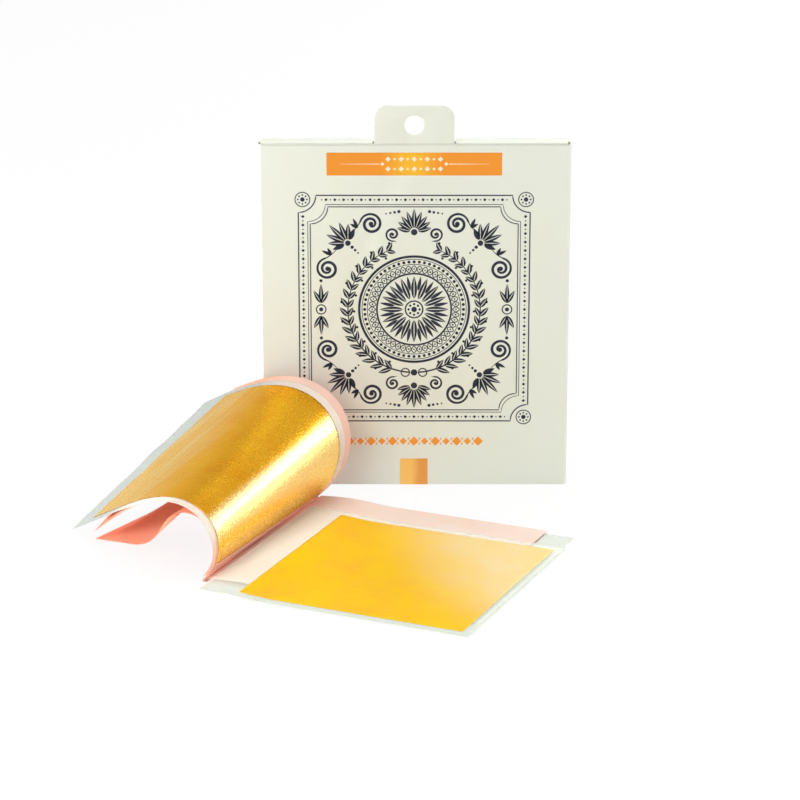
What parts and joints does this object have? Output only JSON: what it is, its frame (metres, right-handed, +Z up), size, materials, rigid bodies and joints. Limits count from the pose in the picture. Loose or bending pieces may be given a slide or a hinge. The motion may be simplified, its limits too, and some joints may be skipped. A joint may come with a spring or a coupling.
{
  "type": "gold leaf booklet",
  "caption": "Open booklet of gold leaf on loose transfer sheets between bound tissue pages, in front of its upright card packet with a hang tab.",
  "frame": {"origin": "middle of the packet's base, on the surface that the packet and the booklet lie on", "axes": "+X along the packet's width to the viewer's right, +Y from the booklet through the packet to its back, +Z up"},
  "size_m": [0.1745, 0.1552, 0.14],
  "materials": {
    "tissue_pink": "thin pink tissue, matt and slightly see-through",
    "tissue_salmon": "the same tissue where it is doubled or shaded, deep salmon",
    "transfer_paper": "greenish-white waxed transfer paper, satin",
    "gold_leaf": "beaten gold leaf, bright, with fine creases and mottling",
    "thread": "fine matt sewing thread",
    "card": "smooth cream card, matt",
    "print_orange": "orange printing ink, satin",
    "print_navy": "navy printing ink, satin",
    "foil_gold": "matt gold foil print"
  },
  "bodies": {
    "booklet": {"spine_strip": "tissue_salmon", "binding_thread": "thread", "page_right_outer": "tissue_pink"},
    "turned_pages": {"page_left_inner": "tissue_pink", "transfer_sheet_left": "transfer_paper", "gold_leaf_left": "gold_leaf", "page_left_outer": "tissue_salmon"},
    "right_page": {"page_right_inner": "tissue_pink"},
    "top_sheet": {"transfer_sheet_right": "transfer_paper", "gold_leaf_right": "gold_leaf"},
    "under_sheet": {"transfer_sheet_under": "transfer_paper", "gold_leaf_under": "gold_leaf"},
    "packet": {"packet_front": "card", "packet_back": "card", "packet_side_left": "card", "packet_side_right": "card", "packet_bottom": "card", "side_glue_flap": "card", "bottom_glue_flap": "card", "label_bar": "print_orange", "ornament_print": "print_navy", "ornament_rule": "print_orange", "gold_sample": "foil_gold"},
    "closure_strip": {"closure_strip": "card"},
    "closure_tuck": {"closure_tuck": "card"}
  },
  "joints": [
    {"name": "turned_pages_lift", "type": "hinge", "parent": "booklet", "child": "turned_pages", "pos_m": [-0.0704, -0.0986, 0.0006], "axis": [0.4067, 0.9135, 0], "range_deg": [0, 10]},
    {"name": "right_page_lift", "type": "hinge", "parent": "booklet", "child": "right_page", "pos_m": [-0.0704, -0.0986, 0.0006], "axis": [-0.4067, -0.9135, 0], "range_deg": [0, 8]},
    {"name": "top_sheet_slide", "type": "slide", "parent": "right_page", "child": "top_sheet", "axis": [0.9135, -0.4067, 0], "range_m": [0, 0.1]},
    {"name": "under_sheet_slide", "type": "slide", "parent": "booklet", "child": "under_sheet", "axis": [0.9135, -0.4067, 0], "range_m": [0, 0.1]},
    {"name": "packet_lift", "type": "slide", "parent": "booklet", "child": "packet", "axis": [0, 0, 1], "range_m": [0, 0.12]},
    {"name": "closure_fold", "type": "hinge", "parent": "packet", "child": "closure_strip", "pos_m": [0, -0.00275, 0.1263], "axis": [1, 0, 0], "range_deg": [0, 120]},
    {"name": "tuck_fold", "type": "hinge", "parent": "closure_strip", "child": "closure_tuck", "pos_m": [0, 0.00335, 0.1267], "axis": [1, 0, 0], "range_deg": [0, 90]}
  ]
}
